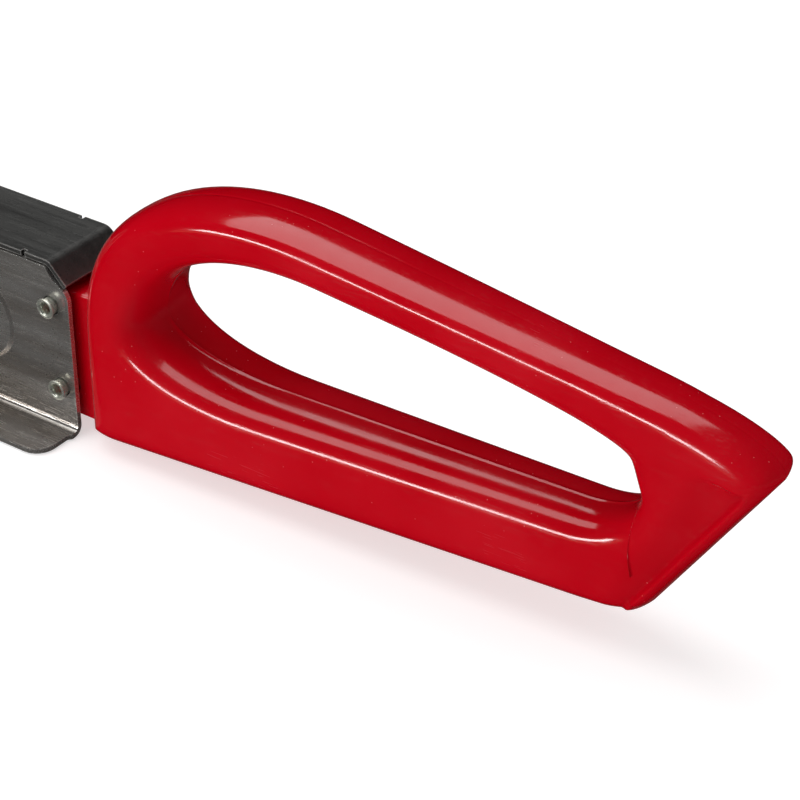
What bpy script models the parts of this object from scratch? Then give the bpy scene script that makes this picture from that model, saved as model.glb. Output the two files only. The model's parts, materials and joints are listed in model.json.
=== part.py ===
"""Adjustable pipe wrench: a pressed-steel body on two foot flanges, a moulded loop handle riveted into its
rear end, a toothed heel jaw fixed at its front, and a hook jaw that a knurled nut moves in a rocking frame.

Metres, +Z up, +X from the jaws towards the handle's tail, Y across. While it is being modelled, X = 0 is just
behind the side plates and Z = 0 is the underside of the foot flanges. A root empty then shifts everything so
that the origin is at the bottom centre of the whole tool.
"""
import math

import bmesh
import bpy
from mathutils import Matrix, Vector

# Pressed body
BODY_WIDTH = 0.0214
SHEET = 0.0012
BODY_TOP = 0.0442
FOOT_REACH = 0.0124
FOOT_BEND = 0.0014
FOOT_CORNER = 0.0040
FOOT_REAR_RADIUS = 0.0048
FOOT_SETBACK = 0.0018
PLATE_REAR = -0.0011
PLATE_FRONT = -0.1180
CHEEK_TOP = 0.0580
CHEEK_START = -0.0740
COVER_FRONT = -0.0690
COVER_REAR = -0.0064
COVER_LIP_END = (-0.0015, 0.0391)
COVER_INSET = 0.0004
RELIEF_X = -0.0141
RELIEF_WIDTH = 0.0011
RELIEF_DEPTH = 0.0011
GAP = 0.0003
CUT_MARGIN = 0.0020

# Inner channel
CHANNEL_FRONT = -0.0960
CHANNEL_LIP = 0.0052
CHANNEL_SOCKET = 0.0190
CHANNEL_BOTTOM = 0.0040

# Pivot bosses and the rocking frame
PIVOT_X = -0.0300
PIVOT_Z = 0.0230
BOSS_RADIUS = 0.0113
BOSS_HEIGHT = 0.0008
STUD_RADIUS = 0.0040
STUD_HEAD_RADIUS = 0.0074
STUD_HEAD_HEIGHT = 0.0016
WASHER_RADIUS = 0.0066
WASHER_PLAY = 0.00025
ARM_SHEET = 0.0013
ARM_EYE_RADIUS = 0.0075
COLLAR_LENGTH = 0.0040
COLLAR_BOTTOM = 0.0080
FRAME_TOP = 0.0362
FRAME_BRIDGE = 0.0036

# Hook jaw and its thread
SHANK_Z = 0.0180
SHANK_RADIUS = 0.0080
SHANK_WIDTH = 0.0120
THREAD_PITCH = 0.0040
THREAD_DEPTH = 0.0016
THREAD_CLEARANCE = 0.0006
THREAD_REAR = -0.0480
THREAD_FRONT = -0.1160
SHANK_TAIL = -0.0410
HOOK_FACE = -0.1500
HOOK_DEPTH = 0.0240
HOOK_WIDTH = 0.0170
HOOK_TOP = 0.0680
TOOTH_PITCH = 0.0026
TOOTH_DEPTH = 0.0013
STOP_PIN_X = -0.0435
STOP_PIN_RADIUS = 0.0015
STOP_PIN_LENGTH = 0.0205

# Adjusting nut
NUT_RADIUS = 0.0140
NUT_LENGTH = 0.0160
NUT_CENTRE = -0.0820
NUT_END_GAP = 0.0004
KNURL_DEPTH = 0.0008
NUT_CHAMFER = 0.0016

# Heel jaw
HEEL_REAR = -0.0970
HEEL_BOTTOM = 0.0300
HEEL_TOP = 0.0660
HEEL_FACE = -0.1240
HEEL_TENON_WIDTH = 0.0060
HEEL_TENON_LENGTH = 0.0080
HEEL_PIN_RADIUS = 0.0020
HEEL_PIN_Z = 0.0530
HEEL_RIVET_RADIUS = 0.0022
HEEL_RIVET_Z = 0.0370

# Springs, rivets and the front tie
SPRING_SHEET = 0.0008
SPRING_WIDTH = 0.0090
SPRING_ROOT_X = -0.0500
SPRING_TIP_X = -0.0800
HOLLOW_RIVET_RADIUS = 0.0021
HOLLOW_RIVET_BORE = 0.0013
HOLLOW_RIVET_STAND = 0.0022
HOLLOW_RIVET_FLARE = 0.0005
UPPER_RIVET = (-0.0064, 0.0330)
LOWER_RIVET = (-0.0051, 0.0118)
SLEEVE_WALL = 0.0008
CHANNEL_RIVET_RADIUS = 0.0012
CHANNEL_RIVETS_X = (-0.0600, -0.0880)
TIE_X = -0.1080
TIE_Z = 0.0052
TIE_RADIUS = 0.0015

# Loop handle. Each corner is x, z, then how far its rounding reaches back and forward along the outline.
HANDLE_OUTER = (
    (0.0025, 0.0005, 0.0010, 0.0082),
    (0.1447, 0.0087, 0.0053, 0.0020),
    (0.1763, 0.0572, 0.0090, 0.0326),
    (0.0025, 0.0779, 0.0635, 0.0400),
)
HANDLE_INNER = (
    (0.0162, 0.0247, 0.0128, 0.0368),
    (0.1465, 0.0298, 0.0181, 0.0102),
    (0.1383, 0.0511, 0.0060, 0.0591),
    (0.0251, 0.0630, 0.0423, 0.0248),
)
HANDLE_LENGTH = 0.1700
LOWER_HALF_FRONT = 0.0143
LOWER_HALF_TAIL = 0.0091
UPPER_HALF_FRONT = 0.0110
UPPER_HALF_TAIL = 0.0084
UPPER_TAPER = (0.0200, 0.1300)
BAR_BLEND = (0.0260, 0.0540)
SECTION_DEPTH_POWER = 2.7
SECTION_WIDTH_POWER = 2.5
TONGUE_FRONT = -0.0140
TONGUE_BACK = 0.0090
TONGUE_BOTTOM = 0.0034
TONGUE_TOP = 0.0365

# Values that follow from the ones above
OUTER_Y = BODY_WIDTH / 2
INNER_Y = OUTER_Y - SHEET
CHANNEL_Y = INNER_Y - GAP
CHANNEL_INNER_Y = CHANNEL_Y - SHEET
PLATE_TOP = BODY_TOP - SHEET - GAP
SHANK_Y = SHANK_WIDTH / 2
ARM_Y = SHANK_Y + 0.0004
ARM_OUTER_Y = ARM_Y + ARM_SHEET
NUT_REAR = NUT_CENTRE + NUT_LENGTH / 2
NUT_FRONT = NUT_CENTRE - NUT_LENGTH / 2
REAR_COLLAR = NUT_REAR + NUT_END_GAP
FRONT_COLLAR = NUT_FRONT - NUT_END_GAP - COLLAR_LENGTH
TONGUE_Y = CHANNEL_INNER_Y - GAP

ROUND = 20
ROUND_LARGE = 32
ARC_STEPS = 6
THREAD_AROUND = 16
THREAD_STEPS = 5
HANDLE_AROUND = 18
HANDLE_ARC_STEPS = 9
HANDLE_LINE_STEPS = 5
CIRCLE_BLEND = 0.5523

PARTS = "pipe_wrench"
CUTTERS = "pipe_wrench_cutters"


def clear_scene():
    for obj in list(bpy.data.objects):
        bpy.data.objects.remove(obj, do_unlink=True)
    for name in (PARTS, CUTTERS):
        collection = bpy.data.collections.new(name)
        bpy.context.scene.collection.children.link(collection)


def empty(name, at, parent=None):
    obj = bpy.data.objects.new(name, None)
    obj.empty_display_size = 0.01
    obj.location = Vector(at) - (Vector(parent["at"]) if parent else Vector())
    obj["at"] = tuple(at)
    obj.parent = parent
    bpy.data.collections[PARTS].objects.link(obj)
    return obj


def material(name, colour, roughness, metallic):
    finish = bpy.data.materials.new(name)
    finish.use_nodes = True
    shader = finish.node_tree.nodes["Principled BSDF"]
    shader.inputs["Base Color"].default_value = (*colour, 1)
    shader.inputs["Roughness"].default_value = roughness
    shader.inputs["Metallic"].default_value = metallic
    finish.diffuse_color = (*colour, 1)
    return finish


def closed_object(name, bm, collection):
    """An object from a closed bmesh whose faces are made to point outwards."""
    bmesh.ops.recalc_face_normals(bm, faces=bm.faces)
    mesh = bpy.data.meshes.new(name)
    bm.to_mesh(mesh)
    bm.free()
    mesh.shade_smooth()
    mesh.set_sharp_from_angle(angle=math.radians(32))
    obj = bpy.data.objects.new(name, mesh)
    bpy.data.collections[collection].objects.link(obj)
    if collection == CUTTERS:
        obj.hide_render = True
        obj.display_type = "WIRE"
    return obj


def rounded(corners, steps=ARC_STEPS):
    """The points of an outline whose corners (u, v, radius) are rounded with circular arcs."""
    points = []
    for index, (u, v, radius) in enumerate(corners):
        corner = Vector((u, v))
        before = (Vector(corners[index - 1][:2]) - corner).normalized()
        after = (Vector(corners[(index + 1) % len(corners)][:2]) - corner).normalized()
        if radius == 0:
            points.append(corner)
            continue
        half_angle = before.angle(after) / 2
        centre = corner + (before + after).normalized() * radius / math.sin(half_angle)
        start = corner + before * radius / math.tan(half_angle) - centre
        turn = start.angle_signed(corner + after * radius / math.tan(half_angle) - centre)
        for step in range(steps + 1):
            points.append(centre + Matrix.Rotation(-turn * step / steps, 2) @ start)
    return points


# How a flat outline (u, v) and its thickness direction lie in space
PLANES = {
    "XZ": Matrix(((1, 0, 0, 0), (0, 0, -1, 0), (0, 1, 0, 0), (0, 0, 0, 1))),
    "YZ": Matrix(((0, 0, 1, 0), (1, 0, 0, 0), (0, 1, 0, 0), (0, 0, 0, 1))),
    "XY": Matrix.Identity(4),
}
NORMALS = {"XZ": Vector((0, 1, 0)), "YZ": Vector((1, 0, 0)), "XY": Vector((0, 0, 1))}


def flat(name, outline, plane, low, high, collection=CUTTERS):
    """An outline extruded from low to high along the normal of its plane."""
    curve = bpy.data.curves.new(name, "CURVE")
    curve.dimensions = "2D"
    curve.fill_mode = "BOTH"
    curve.extrude = (high - low) / 2
    curve.render_resolution_u = 0
    spline = curve.splines.new("POLY")
    spline.points.add(len(outline) - 1)
    for point, (u, v) in zip(spline.points, outline):
        point.co = (u, v, 0, 1)
    spline.use_cyclic_u = True
    shape = bpy.data.objects.new(name, curve)
    bpy.context.scene.collection.objects.link(shape)
    bpy.context.view_layer.update()
    mesh = bpy.data.meshes.new_from_object(shape.evaluated_get(bpy.context.evaluated_depsgraph_get()))
    bpy.data.objects.remove(shape)
    mesh.transform(Matrix.Translation(NORMALS[plane] * (low + high) / 2) @ PLANES[plane])
    bm = bmesh.new()
    bm.from_mesh(mesh)
    bmesh.ops.remove_doubles(bm, verts=bm.verts, dist=0.000001)
    bpy.data.meshes.remove(mesh)
    return closed_object(name, bm, collection)


def box(name, low, high, collection=CUTTERS):
    bm = bmesh.new()
    bmesh.ops.create_cube(bm, size=1)
    size = Vector(high) - Vector(low)
    bmesh.ops.transform(bm, verts=bm.verts, matrix=Matrix.Diagonal((*size, 1)))
    bmesh.ops.translate(bm, verts=bm.verts, vec=(Vector(high) + Vector(low)) / 2)
    return closed_object(name, bm, collection)


AXES = {
    "X": Matrix.Rotation(math.pi / 2, 4, "Y"),
    "Y": Matrix.Rotation(-math.pi / 2, 4, "X"),
    "Z": Matrix.Identity(4),
}


def rod(name, radius, low, high, axis, at, collection=CUTTERS):
    """A cylinder from low to high along an axis through the point at."""
    bm = bmesh.new()
    bmesh.ops.create_cone(bm, cap_ends=True, segments=ROUND, radius1=radius, radius2=radius, depth=high - low)
    along = {"X": (1, 0, 0), "Y": (0, 1, 0), "Z": (0, 0, 1)}[axis]
    centre = Vector(at) + Vector(along) * (low + high) / 2
    bmesh.ops.transform(bm, verts=bm.verts, matrix=Matrix.Translation(centre) @ AXES[axis])
    return closed_object(name, bm, collection)


def turned(name, profile, axis, at, collection=PARTS, closed=False, steps=ROUND):
    """A profile of (radius, height) points, top to bottom, spun about an axis through the point at."""
    mesh = bpy.data.meshes.new(name)
    edges = [(i, i + 1) for i in range(len(profile) - 1)]
    if closed:
        edges.append((len(profile) - 1, 0))
    mesh.from_pydata([(radius, 0, height) for radius, height in profile], edges, [])
    shape = bpy.data.objects.new(name, mesh)
    bpy.context.scene.collection.objects.link(shape)
    screw = shape.modifiers.new("turned", "SCREW")
    screw.steps = steps
    screw.render_steps = steps
    screw.use_merge_vertices = True
    screw.merge_threshold = 0.00001
    bpy.context.view_layer.update()
    spun = bpy.data.meshes.new_from_object(shape.evaluated_get(bpy.context.evaluated_depsgraph_get()))
    bpy.data.objects.remove(shape)
    spun.transform(Matrix.Translation(at) @ AXES[axis])
    bm = bmesh.new()
    bm.from_mesh(spun)
    bmesh.ops.remove_doubles(bm, verts=bm.verts, dist=0.000001)
    bpy.data.meshes.remove(spun)
    return closed_object(name, bm, collection)


def combine(target, operation, *tools):
    """Boolean modifiers that cut (DIFFERENCE), join (UNION) or keep (INTERSECT) the target with each tool."""
    for tool in tools:
        step = target.modifiers.new(f"{operation.lower()} {tool.name}", "BOOLEAN")
        step.operation = operation
        step.object = tool
        step.solver = "EXACT"
    return target


def place(obj, finish, parent, at=None):
    """Gives a part its finish, its parent, and an origin at the point at."""
    origin = Vector(at if at is not None else parent["at"])
    obj.data.transform(Matrix.Translation(-origin))
    obj.data.materials.clear()
    obj.data.materials.append(finish)
    obj.parent = parent
    obj.location = origin - Vector(parent["at"])
    return obj


# ---------------------------------------------------------------- pressed body


def foot_profile(side):
    """The L section of a side plate: wall, bend and out-turned foot, in Y and Z, before it is trimmed."""
    tip = OUTER_Y + FOOT_REACH + CUT_MARGIN
    corners = (
        (INNER_Y, CHEEK_TOP + SHEET, 0),
        (INNER_Y, 0, FOOT_BEND + SHEET),
        (tip, 0, 0),
        (tip, SHEET, 0),
        (OUTER_Y, SHEET, FOOT_BEND),
        (OUTER_Y, CHEEK_TOP + SHEET, 0),
    )
    return [(side * u, v) for u, v in rounded(corners)]


def plate_side_outline():
    """The side view of a plate: level top edge, eased rear corner, raised cheeks round the heel block."""
    corners = (
        (PLATE_REAR, -CUT_MARGIN, 0),
        (PLATE_REAR, PLATE_TOP - 0.0057, 0.0034),
        (PLATE_REAR - 0.0047, PLATE_TOP - 0.0025, 0.0012),
        (PLATE_REAR - 0.0062, PLATE_TOP, 0.0008),
        (CHEEK_START, PLATE_TOP, 0.0100),
        (HEEL_REAR - 0.0010, CHEEK_TOP, 0.0060),
        (PLATE_FRONT, CHEEK_TOP, 0.0050),
        (PLATE_FRONT, -CUT_MARGIN, 0),
    )
    return [tuple(point) for point in rounded(corners)]


def rivet_hole(name, at, radius):
    return rod(name, radius, -0.03, 0.03, "Y", (at[0], 0, at[1]))


def pivot_boss(name, side):
    """The raised ring round the pivot, with a level seat inside it for the stud's head."""
    seat_radius = STUD_HEAD_RADIUS + GAP
    profile = (
        (seat_radius, BOSS_HEIGHT),
        (BOSS_RADIUS - BOSS_HEIGHT, BOSS_HEIGHT),
        (BOSS_RADIUS + SHEET / 2, -SHEET / 2),
        (seat_radius, -SHEET / 2),
    )
    ring = turned(name, profile, "Y", (PIVOT_X, OUTER_Y, PIVOT_Z), CUTTERS, closed=True, steps=ROUND_LARGE)
    return ring if side > 0 else mirrored(ring)


def side_plate(name, side, holes):
    front, rear = PLATE_FRONT - CUT_MARGIN / 2, PLATE_REAR + CUT_MARGIN / 2
    plate = flat(name, foot_profile(side), "YZ", front, rear, PARTS)
    combine(plate, "INTERSECT", flat(f"{name}_outline", plate_side_outline(), "XZ", -0.03, 0.03))
    tip = OUTER_Y + FOOT_REACH
    inside = INNER_Y - CUT_MARGIN
    plan = rounded((
        (PLATE_REAR + CUT_MARGIN, side * inside, 0),
        (PLATE_REAR + CUT_MARGIN, side * (OUTER_Y + 0.0002), 0),
        (-FOOT_SETBACK, side * (OUTER_Y + 0.0030), 0.0012),
        (-FOOT_SETBACK, side * tip, FOOT_REAR_RADIUS),
        (PLATE_FRONT + FOOT_CORNER, side * tip, 0.0030),
        (PLATE_FRONT - CUT_MARGIN, side * (tip - FOOT_CORNER - CUT_MARGIN), 0),
        (PLATE_FRONT - CUT_MARGIN, side * inside, 0),
    ))
    combine(plate, "INTERSECT", flat(f"{name}_plan", [tuple(p) for p in plan], "XY", -0.01, 0.08))
    combine(plate, "UNION", pivot_boss(f"{name}_boss", side))
    combine(plate, "DIFFERENCE", *holes)
    return plate


def nut_window():
    """The window in each plate that the nut's edge stands through, with room for the frame to rock."""
    margin = 0.0016
    half = NUT_LENGTH / 2 + margin
    reach = math.sqrt(NUT_RADIUS**2 - INNER_Y**2) + margin
    corners = (
        (NUT_CENTRE - half, SHANK_Z - reach, 0.002),
        (NUT_CENTRE + half, SHANK_Z - reach, 0.002),
        (NUT_CENTRE + half, SHANK_Z + reach + margin, 0.002),
        (NUT_CENTRE - half, SHANK_Z + reach + margin, 0.002),
    )
    return flat("nut_window", [tuple(p) for p in rounded(corners)], "XZ", -0.03, 0.03)


def plate_holes():
    pivot = (PIVOT_X, PIVOT_Z)
    holes = [
        rivet_hole("upper_rivet_hole", UPPER_RIVET, HOLLOW_RIVET_RADIUS + GAP),
        rivet_hole("lower_rivet_hole", LOWER_RIVET, HOLLOW_RIVET_RADIUS + GAP),
        rivet_hole("stud_hole", pivot, STUD_RADIUS + GAP),
        rivet_hole("tie_hole", (TIE_X, TIE_Z), TIE_RADIUS + GAP),
        rivet_hole("heel_pin_hole", heel_pin_at(), HEEL_PIN_RADIUS + GAP),
        nut_window(),
    ]
    for index, at in enumerate(heel_rivets_at()):
        holes.append(rivet_hole(f"heel_rivet_hole_{index}", at, HEEL_RIVET_RADIUS + GAP))
    for index, x in enumerate(CHANNEL_RIVETS_X):
        at = (x, channel_rivet_z())
        holes.append(rivet_hole(f"channel_rivet_hole_{index}", at, CHANNEL_RIVET_RADIUS + GAP))
    return holes


def channel_rivet_z():
    return PLATE_TOP - SHEET - 0.0017


def spine_channel(holes):
    """The inner U: a web level with the plates' top edges, and a deep socket round the handle's tongue."""
    top = PLATE_TOP
    bend = SHEET * 1.3
    section = rounded((
        (-CHANNEL_Y, 0, 0),
        (-CHANNEL_Y, top, bend),
        (CHANNEL_Y, top, bend),
        (CHANNEL_Y, 0, 0),
        (CHANNEL_INNER_Y, 0, 0),
        (CHANNEL_INNER_Y, top - SHEET, GAP),
        (-CHANNEL_INNER_Y, top - SHEET, GAP),
        (-CHANNEL_INNER_Y, 0, 0),
    ))
    channel = flat("spine_channel", [tuple(p) for p in section], "YZ", CHANNEL_FRONT, 0.001, PARTS)
    rear = PLATE_REAR - 0.0018
    side = rounded((
        (CHANNEL_FRONT - 0.001, top + 0.001, 0),
        (CHANNEL_FRONT - 0.001, top - CHANNEL_LIP, 0),
        (-CHANNEL_SOCKET, top - CHANNEL_LIP, 0.0015),
        (-CHANNEL_SOCKET, CHANNEL_BOTTOM, 0.0020),
        (rear, CHANNEL_BOTTOM, 0.0020),
        (rear, top - 0.0065, 0.0020),
        (rear - 0.0050, top - 0.0020, 0.0012),
        (rear - 0.0060, top + 0.001, 0),
    ))
    combine(channel, "INTERSECT", flat("channel_outline", [tuple(p) for p in side], "XZ", -0.03, 0.03))
    combine(channel, "DIFFERENCE", *holes)
    combine(channel, "DIFFERENCE", spring_rivet_hole("channel_spring_hole"))
    return channel


def spring_rivet_hole(name):
    return rod(name, CHANNEL_RIVET_RADIUS + GAP, 0, 0.06, "Z", (SPRING_ROOT_X, 0, 0))


def spine_cover():
    """The strip over the plates' top edges, its sides nicked once, its free rear end bent down as a lip."""
    reach = OUTER_Y - COVER_INSET
    rear = Vector((COVER_REAR, BODY_TOP))
    tip = Vector(COVER_LIP_END)
    slope = (tip - rear).normalized()
    inward = Vector((slope.y, -slope.x)) * SHEET
    half_turn = slope.angle(Vector((1, 0))) / 2
    inner_bend = rear + Vector((-math.tan(half_turn) * SHEET, -SHEET))
    strip = rounded((
        (COVER_FRONT, BODY_TOP - SHEET, 0),
        (COVER_FRONT, BODY_TOP, 0),
        (*rear, 0.0030),
        (*tip, 0.0003),
        (*(tip + inward), 0.0003),
        (*inner_bend, 0.0018),
    ))
    cover = flat("spine_cover", [tuple(p) for p in strip], "XZ", -reach, reach, PARTS)
    for side_name, side in (("near", -1), ("far", 1)):
        depths = sorted((side * (reach - RELIEF_DEPTH), side * (reach + 0.002)))
        nick = box(
            f"relief_{side_name}",
            (RELIEF_X - RELIEF_WIDTH / 2, depths[0], BODY_TOP - 0.004),
            (RELIEF_X + RELIEF_WIDTH / 2, depths[1], BODY_TOP + 0.004),
        )
        combine(cover, "DIFFERENCE", nick)
    combine(cover, "DIFFERENCE", spring_rivet_hole("cover_spring_hole"))
    return cover


# ---------------------------------------------------------------- rivets, pins and sleeves


def hollow_rivet(name, at):
    """A tubular rivet right through the body, its two ends standing proud and slightly flared."""
    end = OUTER_Y + HOLLOW_RIVET_STAND
    neck = end - 0.0009
    flare = HOLLOW_RIVET_FLARE
    profile = (
        (HOLLOW_RIVET_BORE + flare, end),
        (HOLLOW_RIVET_RADIUS + flare, end - 0.0002),
        (HOLLOW_RIVET_RADIUS, neck),
        (HOLLOW_RIVET_RADIUS, -neck),
        (HOLLOW_RIVET_RADIUS + flare, -end + 0.0002),
        (HOLLOW_RIVET_BORE + flare, -end),
        (HOLLOW_RIVET_BORE, -neck),
        (HOLLOW_RIVET_BORE, neck),
    )
    return turned(name, profile, "Y", (at[0], 0, at[1]), closed=True)


def crush_sleeve(name, at):
    inner = HOLLOW_RIVET_RADIUS + GAP
    outer = inner + SLEEVE_WALL
    profile = ((outer, TONGUE_Y), (outer, -TONGUE_Y), (inner, -TONGUE_Y), (inner, TONGUE_Y))
    return turned(name, profile, "Y", (at[0], 0, at[1]), closed=True)


def headed_pin(name, radius, head_radius, head_height, reach, at, steps=ROUND):
    """A pin across the body with a low domed head on each side of the plates."""
    seat = OUTER_Y + GAP
    profile = [
        (0, seat + head_height),
        (head_radius * 0.55, seat + head_height * 0.85),
        (head_radius * 0.88, seat + head_height * 0.45),
        (head_radius, seat),
        (radius, seat),
    ]
    if reach is None:
        profile += [(r, -h) for r, h in reversed(profile)]
    else:
        profile += [(radius, reach), (0, reach)]
    return turned(name, profile, "Y", (at[0], 0, at[1]), steps=steps)


def mirrored(obj):
    obj.data.transform(Matrix.Diagonal((1, -1, 1, 1)))
    obj.data.flip_normals()
    return obj


def pivot_stud(name, side):
    end = ARM_Y - 0.00005
    at = (PIVOT_X, PIVOT_Z)
    stud = headed_pin(name, STUD_RADIUS, STUD_HEAD_RADIUS, STUD_HEAD_HEIGHT, end, at, ROUND_LARGE)
    return stud if side > 0 else mirrored(stud)


def thrust_washer(name, side):
    middle = (ARM_OUTER_Y + INNER_Y) / 2
    half = (INNER_Y - ARM_OUTER_Y) / 2 - WASHER_PLAY
    bore = STUD_RADIUS + GAP
    profile = ((WASHER_RADIUS, half), (WASHER_RADIUS, -half), (bore, -half), (bore, half))
    return turned(name, profile, "Y", (PIVOT_X, side * middle, PIVOT_Z), closed=True)


def channel_rivets():
    pieces = []
    inner = CHANNEL_INNER_Y - GAP
    for place_name, x in zip(("rear", "front"), CHANNEL_RIVETS_X):
        at = (x, channel_rivet_z())
        for side_name, side in (("near", -1), ("far", 1)):
            piece = headed_pin(
                f"channel_rivet_{place_name}_{side_name}",
                CHANNEL_RIVET_RADIUS, CHANNEL_RIVET_RADIUS * 1.9, 0.0008, inner, at)
            pieces.append(piece if side > 0 else mirrored(piece))
    return pieces


def heel_rivets_at():
    front = (HEEL_REAR + PLATE_FRONT) / 2
    return ((front + 0.0045, HEEL_RIVET_Z), (front - 0.0045, HEEL_RIVET_Z))


def heel_pin_at():
    return (PLATE_FRONT + HEEL_TENON_LENGTH / 2 + 0.0005, HEEL_PIN_Z)


def heel_rivets():
    pieces = []
    for place_name, at in zip(("rear", "front"), heel_rivets_at()):
        name = f"heel_rivet_{place_name}"
        pieces.append(headed_pin(name, HEEL_RIVET_RADIUS, HEEL_RIVET_RADIUS * 1.7, 0.0013, None, at))
    return pieces


def spring_rivet():
    top = BODY_TOP + GAP
    head = CHANNEL_RIVET_RADIUS * 1.9
    under = PLATE_TOP - SHEET - GAP - SPRING_SHEET - GAP
    profile = (
        (0, top + 0.0008),
        (head * 0.7, top + 0.0006),
        (head, top),
        (CHANNEL_RIVET_RADIUS, top),
        (CHANNEL_RIVET_RADIUS, under),
        (head, under),
        (head * 0.7, under - 0.0006),
        (0, under - 0.0008),
    )
    return turned("leaf_spring_rivet", profile, "Z", (SPRING_ROOT_X, 0, 0))


def leaf_spring():
    """A bowed strip held under the web by one rivet, its free tip just above the frame's bridge."""
    top = PLATE_TOP - SHEET - GAP
    tip_z = FRAME_TOP + GAP + SPRING_SHEET
    steps = 10
    upper = [(SPRING_ROOT_X + 0.0050, top), (SPRING_ROOT_X - 0.0050, top)]
    start = SPRING_ROOT_X - 0.0050
    for step in range(1, steps + 1):
        share = step / steps
        ease = share * share * (3 - 2 * share)
        upper.append((start + (SPRING_TIP_X - start) * share, top + (tip_z - top) * ease))
    lower = [(x, z - SPRING_SHEET) for x, z in reversed(upper)]
    strip = flat("leaf_spring", upper + lower, "XZ", -SPRING_WIDTH / 2, SPRING_WIDTH / 2, PARTS)
    combine(strip, "DIFFERENCE", spring_rivet_hole("leaf_spring_hole"))
    return strip


def front_tie_rivet():
    return headed_pin("front_tie_rivet", TIE_RADIUS, TIE_RADIUS * 1.8, 0.0010, None, (TIE_X, TIE_Z))


def front_tie_sleeve():
    inner = TIE_RADIUS + GAP
    outer = inner + SLEEVE_WALL
    profile = ((outer, CHANNEL_Y), (outer, -CHANNEL_Y), (inner, -CHANNEL_Y), (inner, CHANNEL_Y))
    return turned("front_tie_sleeve", profile, "Y", (TIE_X, 0, TIE_Z), closed=True)


# ---------------------------------------------------------------- rocking frame, thread and nut


def shank_opening(name, low, high):
    """A cutter for the flattened round hole that guides the shank and keeps it from turning."""
    radius = SHANK_RADIUS + GAP
    flat_y = SHANK_Y + GAP
    limit = math.acos(flat_y / radius)
    outline = []
    for start in (limit, limit + math.pi):
        sweep = math.pi - 2 * limit
        for step in range(ARC_STEPS * 2 + 1):
            angle = start + sweep * step / (ARC_STEPS * 2)
            outline.append((radius * math.cos(angle), SHANK_Z + radius * math.sin(angle)))
    return flat(name, outline, "YZ", low, high)


def collar(name, low, collection):
    """One of the frame's two end blocks, from low along X."""
    near_bottom = (low, -ARM_OUTER_Y, COLLAR_BOTTOM)
    return box(name, near_bottom, (low + COLLAR_LENGTH, ARM_OUTER_Y, FRAME_TOP), collection)


def rocker_frame():
    """Two arms from the pivot, a collar behind the nut, a bridge over it and a collar in front of it."""
    half = ARM_OUTER_Y
    frame = collar("rocker_frame", REAR_COLLAR, PARTS)
    bridge = box(
        "frame_bridge",
        (FRONT_COLLAR + COLLAR_LENGTH / 2, -half + 0.0004, FRAME_TOP - FRAME_BRIDGE),
        (REAR_COLLAR + COLLAR_LENGTH / 2, half - 0.0004, FRAME_TOP),
    )
    combine(frame, "UNION", collar("frame_front_collar", FRONT_COLLAR, CUTTERS), bridge)
    eye = ARM_EYE_RADIUS
    outline = [tuple(p) for p in rounded((
        (PIVOT_X + eye, PIVOT_Z - eye, eye * 0.98),
        (PIVOT_X + eye, PIVOT_Z + eye, eye * 0.98),
        (REAR_COLLAR + 0.012, PIVOT_Z + eye, 0.004),
        (REAR_COLLAR + 0.001, FRAME_TOP - 0.003, 0),
        (REAR_COLLAR + 0.001, COLLAR_BOTTOM + 0.003, 0),
        (REAR_COLLAR + 0.012, PIVOT_Z - eye, 0.004),
    ))]
    for side, low, high in (("near", -ARM_OUTER_Y, -ARM_Y), ("far", ARM_Y, ARM_OUTER_Y)):
        combine(frame, "UNION", flat(f"frame_arm_{side}", outline, "XZ", low, high))
    opening = shank_opening("frame_shank_opening", FRONT_COLLAR - 0.01, REAR_COLLAR + 0.02)
    stud_hole = rivet_hole("frame_stud_hole", (PIVOT_X, PIVOT_Z), STUD_RADIUS + GAP)
    combine(frame, "DIFFERENCE", opening, stud_hole)
    return frame


def thread_radius(x, angle, extra=0):
    """The thread's radius where it passes x at an angle about the shank: a rounded helix."""
    turn = x / THREAD_PITCH - angle / (2 * math.pi)
    return SHANK_RADIUS + extra - THREAD_DEPTH * (0.5 - 0.5 * math.cos(2 * math.pi * turn))


def shank_ring(bm, x, radius_at, flat_y=1, count=THREAD_AROUND):
    """One ring of vertices round the shank's axis at x, its sides cut flat at flat_y."""
    ring = []
    for step in range(count):
        angle = 2 * math.pi * step / count
        radius = radius_at(x, angle)
        y = max(-flat_y, min(flat_y, radius * math.cos(angle)))
        ring.append(bm.verts.new((x, y, SHANK_Z + radius * math.sin(angle))))
    return ring


def skin(bm, rings):
    for ring, following in zip(rings, rings[1:]):
        for step in range(len(ring)):
            after = (step + 1) % len(ring)
            bm.faces.new((ring[step], ring[after], following[after], following[step]))


def thread_stations(low, high):
    """Low, high and the multiples of the thread's step between them."""
    step = THREAD_PITCH / THREAD_STEPS
    first = math.floor(low / step) + 1
    last = math.ceil(high / step) - 1
    return [low] + [index * step for index in range(first, last + 1)] + [high]


def teeth(face_x, low, high, direction):
    """A row of jaw teeth as one comb solid: backs towards -direction, tips at face_x."""
    count = int((high - low) / TOOTH_PITCH)
    points = [(face_x - direction * (TOOTH_DEPTH + 0.0020), low)]
    for index in range(count):
        base = low + index * TOOTH_PITCH
        points.append((face_x - direction * TOOTH_DEPTH, base))
        points.append((face_x, base + TOOTH_PITCH * 0.72))
        points.append((face_x, base + TOOTH_PITCH * 0.86))
    end = low + count * TOOTH_PITCH
    points.append((face_x - direction * TOOTH_DEPTH, end))
    points.append((face_x - direction * (TOOTH_DEPTH + 0.0020), end))
    return points


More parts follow.
